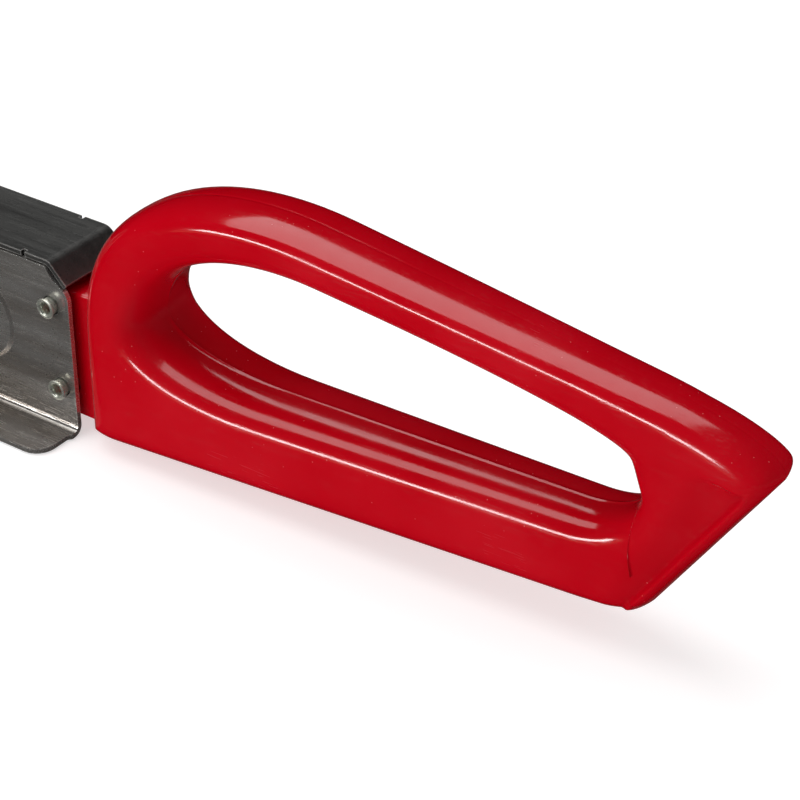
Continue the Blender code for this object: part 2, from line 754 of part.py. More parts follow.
def hook_jaw():
    """The forged jaw: a threaded shank with flat sides, and the hook rising at its front end."""
    root = SHANK_RADIUS - THREAD_DEPTH

    def radius_at(x, angle):
        if x > THREAD_REAR:
            return root
        if x < THREAD_FRONT:
            return SHANK_RADIUS
        return thread_radius(x, angle)

    stations = [HOOK_FACE - 0.0060, THREAD_FRONT - 0.0004]
    stations += thread_stations(THREAD_FRONT, THREAD_REAR)
    stations += [THREAD_REAR + 0.0004, SHANK_TAIL]
    bm = bmesh.new()
    rings = [shank_ring(bm, x, radius_at, SHANK_Y) for x in stations]
    skin(bm, rings)
    bm.faces.new(rings[0])
    bm.faces.new(rings[-1])
    jaw = closed_object("hook_jaw", bm, PARTS)
    back = HOOK_FACE - HOOK_DEPTH
    foot = SHANK_Z - SHANK_RADIUS - 0.0005
    face = HOOK_FACE - TOOTH_DEPTH
    outline = [tuple(p) for p in rounded((
        (HOOK_FACE + 0.0040, foot, 0.0015),
        (HOOK_FACE + 0.0040, SHANK_Z + SHANK_RADIUS, 0.0020),
        (face, SHANK_Z + SHANK_RADIUS + 0.0045, 0.0020),
        (face, HOOK_TOP, 0.0010),
        (face - 0.0075, HOOK_TOP, 0.0040),
        (back, HOOK_TOP - 0.0200, 0.0160),
        (back, foot + 0.0060, 0.0080),
        (back + 0.0120, foot, 0.0060),
    ))]
    head = flat("hook_head", outline, "XZ", -HOOK_WIDTH / 2, HOOK_WIDTH / 2)
    row = teeth(HOOK_FACE, SHANK_Z + SHANK_RADIUS + 0.0060, HOOK_TOP - 0.0010, 1)
    comb = flat("hook_teeth", row, "XZ", -HOOK_WIDTH / 2 + GAP, HOOK_WIDTH / 2 - GAP)
    combine(jaw, "UNION", head, comb)
    combine(jaw, "DIFFERENCE", rod(
        "stop_pin_hole", STOP_PIN_RADIUS + GAP, -0.02, 0.02, "Z", (STOP_PIN_X, 0, SHANK_Z)))
    return jaw


def stop_pin():
    half = STOP_PIN_LENGTH / 2
    profile = (
        (0, half),
        (STOP_PIN_RADIUS - 0.0003, half),
        (STOP_PIN_RADIUS, half - 0.0003),
        (STOP_PIN_RADIUS, -half + 0.0003),
        (STOP_PIN_RADIUS - 0.0003, -half),
        (0, -half),
    )
    return turned("shank_stop_pin", profile, "Z", (STOP_PIN_X, 0, SHANK_Z), steps=16)


def adjusting_nut():
    """The knurled nut: a chamfered barrel with grooves outside and the shank's helix, eased, inside."""
    bm = bmesh.new()
    around = THREAD_AROUND * 3
    bore = [
        shank_ring(bm, x, lambda x, angle: thread_radius(x, angle, THREAD_CLEARANCE))
        for x in thread_stations(NUT_FRONT, NUT_REAR)
    ]
    skin(bm, bore)

    def barrel_radius(x, angle):
        groove = round(angle * around / (2 * math.pi)) % 3 == 0
        chamfer = NUT_CHAMFER if x in (NUT_FRONT, NUT_REAR) else 0
        return NUT_RADIUS - chamfer - (KNURL_DEPTH if groove else 0)

    barrel = [
        shank_ring(bm, x, barrel_radius, count=around)
        for x in (NUT_FRONT, NUT_FRONT + NUT_CHAMFER, NUT_REAR - NUT_CHAMFER, NUT_REAR)
    ]
    skin(bm, barrel)
    for inner, outer in ((bore[0], barrel[0]), (bore[-1], barrel[-1])):
        for step in range(THREAD_AROUND):
            after = (step + 1) % THREAD_AROUND
            edge = [outer[(3 * step + offset) % around] for offset in (3, 2, 1, 0)]
            bm.faces.new([inner[step], inner[after], *edge])
    return closed_object("adjusting_nut", bm, PARTS)


# ---------------------------------------------------------------- heel jaw


def heel_block():
    outline = [tuple(p) for p in rounded((
        (HEEL_REAR, HEEL_BOTTOM, 0.0010),
        (HEEL_REAR, BODY_TOP + 0.0060, 0.0060),
        (HEEL_REAR - 0.0070, HEEL_TOP, 0.0060),
        (PLATE_FRONT, HEEL_TOP, 0.0010),
        (PLATE_FRONT, HEEL_BOTTOM, 0.0010),
    ))]
    block = flat("heel_block", outline, "XZ", -CHANNEL_Y, CHANNEL_Y, PARTS)
    slot = box(
        "heel_slot",
        (PLATE_FRONT - 0.001, -HEEL_TENON_WIDTH / 2 - GAP, HEEL_BOTTOM - 0.01),
        (PLATE_FRONT + HEEL_TENON_LENGTH + GAP, HEEL_TENON_WIDTH / 2 + GAP, HEEL_TOP + 0.01),
    )
    combine(block, "DIFFERENCE", slot)
    combine(block, "DIFFERENCE", rivet_hole("heel_block_pin_hole", heel_pin_at(), HEEL_PIN_RADIUS + GAP))
    for index, at in enumerate(heel_rivets_at()):
        hole = rivet_hole(f"heel_block_rivet_hole_{index}", at, HEEL_RIVET_RADIUS + GAP)
        combine(block, "DIFFERENCE", hole)
    return block


def heel_jaw():
    """The hardened toothed insert: a plate with teeth forward and a tenon back into the block's slot."""
    back = PLATE_FRONT - GAP
    low = HEEL_BOTTOM + 0.0010
    comb = teeth(HEEL_FACE, low, HEEL_TOP - 0.0005, -1)
    jaw = flat("heel_jaw", comb, "XZ", -CHANNEL_Y, CHANNEL_Y, PARTS)
    top = low + int((HEEL_TOP - 0.0005 - low) / TOOTH_PITCH) * TOOTH_PITCH
    body = box("heel_jaw_plate", (HEEL_FACE + TOOTH_DEPTH + 0.0002, -CHANNEL_Y, low), (back, CHANNEL_Y, top))
    tenon = box(
        "heel_tenon",
        (back - 0.001, -HEEL_TENON_WIDTH / 2, HEEL_RIVET_Z + HEEL_RIVET_RADIUS + 0.0010),
        (PLATE_FRONT + HEEL_TENON_LENGTH, HEEL_TENON_WIDTH / 2, top),
    )
    combine(jaw, "UNION", body, tenon)
    combine(jaw, "DIFFERENCE", rivet_hole("heel_jaw_pin_hole", heel_pin_at(), HEEL_PIN_RADIUS + GAP))
    return jaw


def heel_jaw_pin():
    return headed_pin("heel_jaw_pin", HEEL_PIN_RADIUS, HEEL_PIN_RADIUS * 1.7, 0.0012, None, heel_pin_at())


# ---------------------------------------------------------------- handle


def blended_ring(corners):
    """The points of a closed outline: a soft curve round each corner, then a straight run to the next."""
    ring = []
    count = len(corners)
    tips = [Vector(corner[:2]) for corner in corners]
    starts = []
    ends = []
    for index, corner in enumerate(corners):
        before = (tips[index - 1] - tips[index]).normalized()
        after = (tips[(index + 1) % count] - tips[index]).normalized()
        starts.append(tips[index] + before * corner[2])
        ends.append(tips[index] + after * corner[3])
    for index in range(count):
        first, last = starts[index], ends[index]
        pull_first = first.lerp(tips[index], CIRCLE_BLEND)
        pull_last = last.lerp(tips[index], CIRCLE_BLEND)
        for step in range(HANDLE_ARC_STEPS):
            t = step / HANDLE_ARC_STEPS
            from_first = first * (1 - t) ** 3 + pull_first * 3 * (1 - t) ** 2 * t
            ring.append(from_first + pull_last * 3 * (1 - t) * t**2 + last * t**3)
        for step in range(HANDLE_LINE_STEPS):
            ring.append(last.lerp(starts[(index + 1) % count], step / HANDLE_LINE_STEPS))
    return ring


def share_between(value, ends):
    """How far value lies between two ends, held within 0 and 1."""
    return min(1, max(0, (value - ends[0]) / (ends[1] - ends[0])))


def handle_half(outer, inner):
    """Half the handle's width: it narrows to the tail, and the upper bar is narrower than the lower."""
    lower = LOWER_HALF_FRONT + (LOWER_HALF_TAIL - LOWER_HALF_FRONT) * outer.x / HANDLE_LENGTH
    upper = UPPER_HALF_FRONT + (UPPER_HALF_TAIL - UPPER_HALF_FRONT) * share_between(outer.x, UPPER_TAPER)
    height = share_between((outer.y + inner.y) / 2, BAR_BLEND)
    return lower + (upper - lower) * height * height * (3 - 2 * height)


def signed_power(value, power):
    return math.copysign(abs(value) ** power, value)


def handle_grip():
    """A closed loop lofted between its outer and inner outlines, with a soft square section, and a tongue."""
    bm = bmesh.new()
    sections = []
    for outer, inner in zip(blended_ring(HANDLE_OUTER), blended_ring(HANDLE_INNER)):
        half = handle_half(outer, inner)
        section = []
        for step in range(HANDLE_AROUND):
            angle = 2 * math.pi * step / HANDLE_AROUND
            share = 0.5 - 0.5 * signed_power(math.cos(angle), 2 / SECTION_DEPTH_POWER)
            y = -half * signed_power(math.sin(angle), 2 / SECTION_WIDTH_POWER)
            point = inner.lerp(outer, share)
            section.append(bm.verts.new((point.x, y, point.y)))
        sections.append(section)
    for index, section in enumerate(sections):
        following = sections[(index + 1) % len(sections)]
        for step in range(HANDLE_AROUND):
            after = (step + 1) % HANDLE_AROUND
            bm.faces.new((section[step], section[after], following[after], following[step]))
    handle = closed_object("handle_grip", bm, PARTS)
    near_bottom = (TONGUE_FRONT, -TONGUE_Y, TONGUE_BOTTOM)
    tongue = box("handle_tongue", near_bottom, (TONGUE_BACK, TONGUE_Y, TONGUE_TOP))
    combine(handle, "UNION", tongue)
    for name, at in (("upper", UPPER_RIVET), ("lower", LOWER_RIVET)):
        hole = rivet_hole(f"tongue_hole_{name}", at, HOLLOW_RIVET_RADIUS + 2 * GAP + SLEEVE_WALL)
        combine(handle, "DIFFERENCE", hole)
    return handle


# ---------------------------------------------------------------- assembly


def length_ends(obj):
    xs = [vertex.co.x for vertex in obj.data.vertices]
    return min(xs), max(xs)


def build():
    clear_scene()
    red = material("red_moulding", (0.62, 0.004, 0.012), 0.22, 0.0)
    sheet = material("bright_sheet", (0.62, 0.60, 0.57), 0.28, 1.0)
    zinc = material("zinc_rivet", (0.70, 0.72, 0.66), 0.30, 1.0)
    forged = material("forged_steel", (0.16, 0.16, 0.17), 0.45, 1.0)
    bright = material("machined_steel", (0.48, 0.48, 0.48), 0.30, 1.0)
    spring = material("spring_steel", (0.25, 0.26, 0.29), 0.32, 1.0)

    handle = handle_grip()
    tail = length_ends(handle)[1]
    front = HOOK_FACE - HOOK_DEPTH
    root = empty("wrench_origin", (0, 0, 0))
    rock = empty("rock_axis", (PIVOT_X, 0, PIVOT_Z), root)
    screw = empty("screw_axis", (NUT_CENTRE, 0, SHANK_Z), rock)

    holes = plate_holes()
    place(handle, red, root)
    place(side_plate("side_plate_near", -1, holes), sheet, root)
    place(side_plate("side_plate_far", 1, holes), sheet, root)
    place(spine_channel(holes[:2] + holes[-2:]), sheet, root)
    place(spine_cover(), sheet, root)
    place(hollow_rivet("handle_rivet_upper", UPPER_RIVET), zinc, root)
    place(hollow_rivet("handle_rivet_lower", LOWER_RIVET), zinc, root)
    place(crush_sleeve("tongue_sleeve_upper", UPPER_RIVET), bright, root)
    place(crush_sleeve("tongue_sleeve_lower", LOWER_RIVET), bright, root)
    place(pivot_stud("pivot_stud_near", -1), sheet, root)
    place(pivot_stud("pivot_stud_far", 1), sheet, root)
    place(thrust_washer("thrust_washer_near", -1), bright, root)
    place(thrust_washer("thrust_washer_far", 1), bright, root)
    place(leaf_spring(), spring, root)
    place(spring_rivet(), zinc, root)
    place(heel_block(), forged, root)
    place(heel_jaw(), bright, root)
    place(heel_jaw_pin(), bright, root)
    for rivet in channel_rivets() + heel_rivets():
        place(rivet, zinc, root)
    place(front_tie_rivet(), zinc, root)
    place(front_tie_sleeve(), bright, root)
    place(rocker_frame(), forged, rock)
    place(adjusting_nut(), bright, screw)
    place(hook_jaw(), forged, screw)
    place(stop_pin(), bright, screw)

    for cutter in bpy.data.collections[CUTTERS].objects:
        cutter.parent = root
    root.location = (-(front + tail) / 2, 0, 0)


build()
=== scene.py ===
"""Looks for the pipe wrench: a moulded loop handle, worn sheet metal and a soft studio round it."""
import json
import math

import bmesh
import bpy
import numpy as np
from mathutils import Matrix, Vector


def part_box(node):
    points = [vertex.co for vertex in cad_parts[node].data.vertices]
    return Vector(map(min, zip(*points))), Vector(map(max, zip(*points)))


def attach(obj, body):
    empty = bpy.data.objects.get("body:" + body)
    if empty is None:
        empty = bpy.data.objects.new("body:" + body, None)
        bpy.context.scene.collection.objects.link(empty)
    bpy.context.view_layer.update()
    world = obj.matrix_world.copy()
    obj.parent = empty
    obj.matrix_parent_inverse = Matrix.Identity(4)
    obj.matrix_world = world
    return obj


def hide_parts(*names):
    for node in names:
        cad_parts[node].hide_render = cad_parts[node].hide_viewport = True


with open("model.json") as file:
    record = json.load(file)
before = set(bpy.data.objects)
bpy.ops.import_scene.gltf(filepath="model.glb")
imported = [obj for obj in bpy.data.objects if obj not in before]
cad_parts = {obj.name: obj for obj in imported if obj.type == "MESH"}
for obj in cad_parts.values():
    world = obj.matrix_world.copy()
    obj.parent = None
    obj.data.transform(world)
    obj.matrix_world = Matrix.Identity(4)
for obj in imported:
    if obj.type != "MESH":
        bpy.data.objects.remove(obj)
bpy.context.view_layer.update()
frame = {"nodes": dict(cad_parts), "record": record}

# Everything is placed from the frame: the tool's own zero along X is just behind the side plates.
MM = 0.001
ZERO_BEHIND_PLATES = 1.1
ZERO_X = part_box("side_plate_near")[1][0] + ZERO_BEHIND_PLATES * MM

# Loop handle, in mm from that zero and the floor: x, z, then how far each corner's rounding reaches
HANDLE_OUTER = (
    (2.52, 0.5, 4.2, 9.0),
    (144.67, 8.7, 5.3, 2.0),
    (176.27, 57.2, 9.0, 32.6),
    (2.52, 77.88, 63.5, 40.0),
)
HANDLE_INNER = (
    (16.2, 24.7, 12.8, 36.8),
    (146.5, 29.8, 18.1, 10.2),
    (138.3, 51.1, 6.0, 59.1),
    (25.1, 63.0, 42.3, 24.8),
)
HANDLE_LENGTH = 170.0
LOWER_HALF = (14.3, 9.1)
UPPER_HALF = (11.0, 8.4)
UPPER_TAPER = (20.0, 130.0)
BAR_BLEND = (26.0, 54.0)

# How the surface rounds in from an outline: the two powers of the curve and how far in it reaches
DEPTH_POWER = 2.7
WIDTH_POWER = 2.5
ROUNDING = 9.0
END_ROUNDING = 3.2

# Steps of the loft, and how far a corner's curve pulls towards its tip to come out near a circle
CIRCLE_BLEND = 0.5523
ARC_STEPS = 34
LINE_STEPS = 20
SECTION_STEPS = 128
SLOPING_END = range(2 * ARC_STEPS + LINE_STEPS, 2 * ARC_STEPS + 2 * LINE_STEPS)

# The flat web at the tail lies below a line along the upper bar, behind the lower bar's end
# and inside the rim along the sloping end. Each line is two points, x and z.
WEB_TOP = ((145.2, 53.1), (166.4, 49.0))
WEB_RIM = ((144.67, 8.7), (176.27, 57.2))
WEB_FRONT = ((135.0, 8.0), (147.5, 34.0))
WEB_DEPTH = 2.0
WEB_FRONT_FADE = (0.0, 8.0)
WEB_FILLET = 2.4
RIM_EDGE = (2.2, 3.6)

# The line the mould's two halves leave round the middle of the handle
PARTING_HALF = 0.10
PARTING_FOOT = 0.30
PARTING_LIFT = 0.13

# Tongue of the handle inside the body
TONGUE_LOW = (-14.0, -7.7, 3.4)
TONGUE_HIGH = (9.0, 7.7, 36.5)

# Camera: azimuth and elevation of the view, the point it looks at and how far it stands
VIEW_AZIMUTH = 35.3
VIEW_ELEVATION = 32.6
VIEW_DISTANCE = 504.0
VIEW_TARGET = (82.48, 0.0, 34.92)
LENS = 108.0
SENSOR = 36.0
NEAR_CLIP = 0.01

# The point every studio light faces, in mm
LIGHT_AIM = (80.0, 0.0, 45.0)

# Floor: half its side, and how far it lies under the feet, in metres
FLOOR_REACH = 3.0
FLOOR_DROP = 0.0004

# Softened edges of the kept nodes, in metres, and the fold beyond which an edge is softened
EDGE_WIDTH = 0.00022
SHEET_EDGE_WIDTH = 0.00035
SHEET_SLOTS = ("pressed_sheet", "web_sheet")
SOFTEN_BEYOND = math.radians(38)
SOFTEN_STEPS = 3
WELD_WITHIN = 0.000002
TONGUE_EDGE = 0.0006


def place(x, y, z):
    """A point given in mm from the tool's zero, the middle plane and the floor."""
    return Vector((ZERO_X + x * MM, y * MM, z * MM))


# ---------------------------------------------------------------- node groups


def new_group(name, inputs, outputs):
    """An empty shader group with named sockets: the group, its input node and its output node."""
    group = bpy.data.node_groups.new(name, "ShaderNodeTree")
    for label, kind, value in inputs:
        socket = group.interface.new_socket(label, in_out="INPUT", socket_type=kind)
        if value is not None:
            socket.default_value = value
    for label, kind in outputs:
        group.interface.new_socket(label, in_out="OUTPUT", socket_type=kind)
    start = group.nodes.new("NodeGroupInput")
    end = group.nodes.new("NodeGroupOutput")
    return group, start, end


def add(tree, kind, links=(), **settings):
    """A node with its settings, and its inputs set from values or linked from sockets."""
    node = tree.nodes.new(kind)
    for key, value in settings.items():
        setattr(node, key, value)
    for name, value in dict(links).items():
        socket = node.inputs[name]
        if isinstance(value, bpy.types.NodeSocket):
            tree.links.new(value, socket)
        else:
            socket.default_value = value
    return node


def ramp(tree, factor, stops):
    """Colours spread over a factor; each stop is a position and a colour."""
    node = add(tree, "ShaderNodeValToRGB", {"Fac": factor})
    elements = node.color_ramp.elements
    while len(elements) < len(stops):
        elements.new(0.5)
    for element, (position, colour) in zip(elements, stops):
        element.position = position
        element.color = colour if len(colour) == 4 else (*colour, 1)
    return node.outputs["Color"]


def grey(value):
    return (value, value, value, 1)


def scratch_group():
    """Fine straight scratches in two directions: a mask and a height."""
    group, start, end = new_group(
        "fine_scratches",
        (("Scale", "NodeSocketFloat", 60.0), ("Amount", "NodeSocketFloat", 0.5)),
        (("Mask", "NodeSocketFloat"), ("Height", "NodeSocketFloat")),
    )
    place_node = add(group, "ShaderNodeTexCoord")
    masks = []
    for turn, stretch in ((0.45, 0.03), (-0.8, 0.05)):
        mapping = add(group, "ShaderNodeMapping", {"Vector": place_node.outputs["Object"]})
        mapping.inputs["Rotation"].default_value = (turn * 0.3, turn, turn * 0.7)
        mapping.inputs["Scale"].default_value = (stretch * 100, 100, 100)
        noise = add(group, "ShaderNodeTexNoise", {
            "Vector": mapping.outputs["Vector"], "Scale": start.outputs["Scale"], "Detail": 1.0})
        masks.append(ramp(group, noise.outputs["Fac"], ((0.66, grey(0)), (0.70, grey(1)))))
    most = add(group, "ShaderNodeMath", operation="MAXIMUM")
    group.links.new(masks[0], most.inputs[0])
    group.links.new(masks[1], most.inputs[1])
    scaled = add(group, "ShaderNodeMath", operation="MULTIPLY")
    group.links.new(most.outputs[0], scaled.inputs[0])
    group.links.new(start.outputs["Amount"], scaled.inputs[1])
    group.links.new(scaled.outputs[0], end.inputs["Mask"])
    group.links.new(scaled.outputs[0], end.inputs["Height"])
    return group


def speck_group():
    """Small scattered specks of dust and tiny pits, thinned out by a larger cloud."""
    group, start, end = new_group(
        "dust_specks",
        (
            ("Scale", "NodeSocketFloat", 500.0),
            ("Size", "NodeSocketFloat", 0.12),
            ("Cover", "NodeSocketFloat", 0.5),
        ),
        (("Mask", "NodeSocketFloat"),),
    )
    where = add(group, "ShaderNodeTexCoord")
    cells = add(group, "ShaderNodeTexVoronoi", {
        "Vector": where.outputs["Object"], "Scale": start.outputs["Scale"], "Randomness": 1.0})
    spot = add(group, "ShaderNodeMath", operation="LESS_THAN")
    group.links.new(cells.outputs["Distance"], spot.inputs[0])
    group.links.new(start.outputs["Size"], spot.inputs[1])
    cloud = add(group, "ShaderNodeTexNoise", {
        "Vector": where.outputs["Object"], "Scale": 60.0, "Detail": 2.0})
    thin = add(group, "ShaderNodeMath", operation="LESS_THAN")
    group.links.new(cloud.outputs["Fac"], thin.inputs[0])
    group.links.new(start.outputs["Cover"], thin.inputs[1])
    both = add(group, "ShaderNodeMath", operation="MULTIPLY")
    group.links.new(spot.outputs[0], both.inputs[0])
    group.links.new(thin.outputs[0], both.inputs[1])
    group.links.new(both.outputs[0], end.inputs["Mask"])
    return group


def rolled_group():
    """The drawn-out grain of rolled sheet, along X: a soft value and a height."""
    group, start, end = new_group(
        "rolled_grain",
        (("Scale", "NodeSocketFloat", 900.0), ("Stretch", "NodeSocketFloat", 0.02)),
        (("Value", "NodeSocketFloat"),),
    )
    where = add(group, "ShaderNodeTexCoord")
    scale = add(group, "ShaderNodeCombineXYZ", {"X": start.outputs["Stretch"], "Y": 1.0, "Z": 1.0})
    drawn = add(group, "ShaderNodeVectorMath", operation="MULTIPLY")
    group.links.new(where.outputs["Object"], drawn.inputs[0])
    group.links.new(scale.outputs[0], drawn.inputs[1])
    noise = add(group, "ShaderNodeTexNoise", {
        "Vector": drawn.outputs[0], "Scale": start.outputs["Scale"], "Detail": 4.0, "Roughness": 0.6})
    group.links.new(noise.outputs["Fac"], end.inputs["Value"])
    return group


def edge_wear_and_sheen_group():
    """A mask, 1 on an edge, from how far a rounded normal turns away from the true one."""
    group, start, end = new_group(
        "edge_wear_and_painted_sheen",
        (("Reach", "NodeSocketFloat", 0.0004),),
        (("Mask", "NodeSocketFloat"),),
    )
    # The mask lightens edges in the metals: partly rubbed wear, partly a painted highlight.
    surface = add(group, "ShaderNodeNewGeometry")
    softened = add(group, "ShaderNodeBevel", {"Radius": start.outputs["Reach"]}, samples=4)
    agree = add(group, "ShaderNodeVectorMath", operation="DOT_PRODUCT")
    group.links.new(surface.outputs["Normal"], agree.inputs[0])
    group.links.new(softened.outputs["Normal"], agree.inputs[1])
    spread = add(group, "ShaderNodeMapRange", {
        "Value": agree.outputs["Value"], "From Min": 0.99, "From Max": 0.88})
    group.links.new(spread.outputs[0], end.inputs["Mask"])
    return group


SCRATCHES = scratch_group()
SPECKS = speck_group()
ROLLED = rolled_group()
EDGES = edge_wear_and_sheen_group()


def use(tree, group, **values):
    """A shared group placed in a material with its own values."""
    node = tree.nodes.new("ShaderNodeGroup")
    node.node_tree = group
    for name, value in values.items():
        node.inputs[name].default_value = value
    return node


def new_material(name, **constants):
    """A material with the constant values set on its own shader's sockets."""
    made = bpy.data.materials.new(name)
    made.use_nodes = True
    shader = made.node_tree.nodes["Principled BSDF"]
    for label, value in constants.items():
        shader.inputs[label.replace("_", " ")].default_value = value
    return made, made.node_tree, shader


def mix(tree, factor, first, second):
    node = add(tree, "ShaderNodeMix", data_type="RGBA")
    for socket, value in ((node.inputs[0], factor), (node.inputs[6], first), (node.inputs[7], second)):
        if isinstance(value, bpy.types.NodeSocket):
            tree.links.new(value, socket)
        else:
            socket.default_value = value
    return node.outputs[2]


def number(tree, operation, first, second):
    node = add(tree, "ShaderNodeMath", operation=operation)
    for socket, value in zip(node.inputs, (first, second)):
        if isinstance(value, bpy.types.NodeSocket):
            tree.links.new(value, socket)
        else:
            socket.default_value = value
    return node.outputs[0]


def bump(tree, shader, height, strength, distance):
    node = add(tree, "ShaderNodeBump", {"Height": height, "Strength": strength, "Distance": distance})
    tree.links.new(node.outputs["Normal"], shader.inputs["Normal"])


# ---------------------------------------------------------------- materials


def red_plastic():
    """Glossy moulded red: barely cloudy, a few specks and hairlines, and a painted highlight that turns it
    paler where it is seen edge-on.
    """
    made, tree, shader = new_material(
        "red_moulded_plastic", IOR=1.5, Subsurface_Weight=0.06, Subsurface_Scale=0.003,
        Coat_Roughness=0.05, Coat_IOR=1.45)
    shader.inputs["Subsurface Radius"].default_value = (1.0, 0.12, 0.06)
    where = add(tree, "ShaderNodeTexCoord")
    cloud = add(tree, "ShaderNodeTexNoise", {
        "Vector": where.outputs["Object"], "Scale": 28.0, "Detail": 3.0})
    body = ramp(tree, cloud.outputs["Fac"], ((0.35, (0.40, 0.0002, 0.0050)), (0.70, (0.46, 0.0004, 0.0075))))
    dust = use(tree, SPECKS, Scale=520.0, Size=0.075, Cover=0.44)
    marks = use(tree, SCRATCHES, Scale=26.0, Amount=1.0)
    colour = mix(tree, number(tree, "MULTIPLY", dust.outputs["Mask"], 0.30), body, (0.72, 0.20, 0.20, 1))
    # Painted highlight: the base colour turns a paler red where the surface is seen edge-on.
    edge = add(tree, "ShaderNodeLayerWeight", {"Blend": 0.5})
    painted_edge_on_sheen = ramp(tree, edge.outputs["Facing"], ((0.80, grey(0)), (0.93, grey(0.20)), (1.0, grey(0.62))))
    colour = mix(tree, painted_edge_on_sheen, colour, (0.80, 0.34, 0.34, 1))
    tree.links.new(colour, shader.inputs["Base Color"])
    fine = add(tree, "ShaderNodeTexNoise", {
        "Vector": where.outputs["Object"], "Scale": 300.0, "Detail": 4.0})
    smear = ramp(tree, cloud.outputs["Fac"], ((0.40, grey(0.10)), (0.75, grey(0.20))))
    rough = number(tree, "ADD", smear, number(tree, "MULTIPLY", marks.outputs["Mask"], 0.10))
    rough = number(tree, "ADD", rough, number(tree, "MULTIPLY", dust.outputs["Mask"], 0.2))
    tree.links.new(rough, shader.inputs["Roughness"])
    gloss = ramp(tree, fine.outputs["Fac"], ((0.3, grey(0.25)), (0.8, grey(0.45))))
    tree.links.new(gloss, shader.inputs["Coat Weight"])
    height = number(tree, "ADD", number(tree, "MULTIPLY", fine.outputs["Fac"], 0.25), dust.outputs["Mask"])
    height = number(tree, "SUBTRACT", height, number(tree, "MULTIPLY", marks.outputs["Height"], 0.4))
    bump(tree, shader, height, 0.05, 0.0001)
    return made


def sheet_metal(name, light, dark, rough_low, rough_high, grain, speckle):
    """Bright or satin sheet: rolled grain, a warm cast in streaks, scratches, pits and edges lightened as
    rubbed wear with a painted highlight.
    """
    made, tree, shader = new_material(name, Metallic=0.86, IOR=1.5)
    rolled = use(tree, ROLLED, Scale=700.0, Stretch=0.03)
    broad = use(tree, ROLLED, Scale=90.0, Stretch=0.12)
    marks = use(tree, SCRATCHES, Scale=34.0, Amount=1.0)
    pits = use(tree, SPECKS, Scale=900.0, Size=0.20, Cover=speckle)
    worn_and_sheened_edges = use(tree, EDGES, Reach=0.0005)
    tone = ramp(tree, broad.outputs["Value"], ((0.35, dark), (0.62, light)))
    tone = mix(tree, number(tree, "MULTIPLY", pits.outputs["Mask"], 0.55), tone, (0.05, 0.05, 0.05, 1))
    # Edges mixed towards pale metal: rubbed wear together with a painted highlight.
    tone = mix(tree, number(tree, "MULTIPLY", worn_and_sheened_edges.outputs["Mask"], 0.8), tone, (0.82, 0.80, 0.77, 1))
    tree.links.new(tone, shader.inputs["Base Color"])
    rough = ramp(tree, rolled.outputs["Value"], ((0.3, grey(rough_low)), (0.75, grey(rough_high))))
    rough = number(tree, "ADD", rough, number(tree, "MULTIPLY", marks.outputs["Mask"], 0.15))
    rough = number(tree, "ADD", rough, number(tree, "MULTIPLY", pits.outputs["Mask"], 0.25))
    tree.links.new(rough, shader.inputs["Roughness"])
    height = number(tree, "SUBTRACT", rolled.outputs["Value"], marks.outputs["Height"])
    height = number(tree, "SUBTRACT", height, pits.outputs["Mask"])
    bump(tree, shader, height, grain, 0.0001)
    return made


def solid_metal(name, light, dark, rough_low, rough_high, scale, grain, shine):
    """Forged, turned or plated steel: cloudy tone, fine pitting and edges lightened as rubbed wear with a
    painted highlight.
    """
    made, tree, shader = new_material(name, Metallic=0.88, IOR=1.5)
    where = add(tree, "ShaderNodeTexCoord")
    cloud = add(tree, "ShaderNodeTexNoise", {
        "Vector": where.outputs["Object"], "Scale": scale, "Detail": 5.0})
    fine = add(tree, "ShaderNodeTexNoise", {
        "Vector": where.outputs["Object"], "Scale": scale * 9, "Detail": 3.0})
    marks = use(tree, SCRATCHES, Scale=40.0, Amount=1.0)
    worn_and_sheened_edges = use(tree, EDGES, Reach=0.0003)
    tone = ramp(tree, cloud.outputs["Fac"], ((0.32, dark), (0.68, light)))
    # Edges mixed towards pale metal: rubbed wear together with a painted highlight.
    tone = mix(tree, number(tree, "MULTIPLY", worn_and_sheened_edges.outputs["Mask"], shine), tone, (0.72, 0.71, 0.69, 1))
    tree.links.new(tone, shader.inputs["Base Color"])
    rough = ramp(tree, fine.outputs["Fac"], ((0.3, grey(rough_low)), (0.7, grey(rough_high))))
    rough = number(tree, "ADD", rough, number(tree, "MULTIPLY", marks.outputs["Mask"], 0.12))
    tree.links.new(rough, shader.inputs["Roughness"])
    worn = number(tree, "MULTIPLY", marks.outputs["Height"], 0.5)
    height = number(tree, "SUBTRACT", fine.outputs["Fac"], worn)
    bump(tree, shader, height, grain, 0.0002)
    return made


RED = red_plastic()
SHEET = sheet_metal(
    "bright_pressed_sheet", light=(0.60, 0.585, 0.56), dark=(0.36, 0.325, 0.29),
    rough_low=0.16, rough_high=0.28, grain=0.12, speckle=0.42)
# The web is the same pressed sheet as the side plates. This darker copy of it is painted shade on the top.
SHADED_WEB_SHEET = sheet_metal(
    "painted_shade_web", light=(0.13, 0.13, 0.125), dark=(0.065, 0.065, 0.063),
    rough_low=0.34, rough_high=0.52, grain=0.30, speckle=0.52)
ZINC = solid_metal(
    "zinc_plate", light=(0.86, 0.88, 0.80), dark=(0.66, 0.68, 0.58),
    rough_low=0.22, rough_high=0.38, scale=160.0, grain=0.10, shine=0.5)
MACHINED = solid_metal(
    "machined_steel", light=(0.52, 0.52, 0.51), dark=(0.36, 0.36, 0.36),
    rough_low=0.24, rough_high=0.40, scale=120.0, grain=0.12, shine=0.6)
FORGED = solid_metal(
    "dark_forged_steel", light=(0.15, 0.148, 0.15), dark=(0.075, 0.075, 0.08),
    rough_low=0.42, rough_high=0.62, scale=90.0, grain=0.45, shine=0.7)
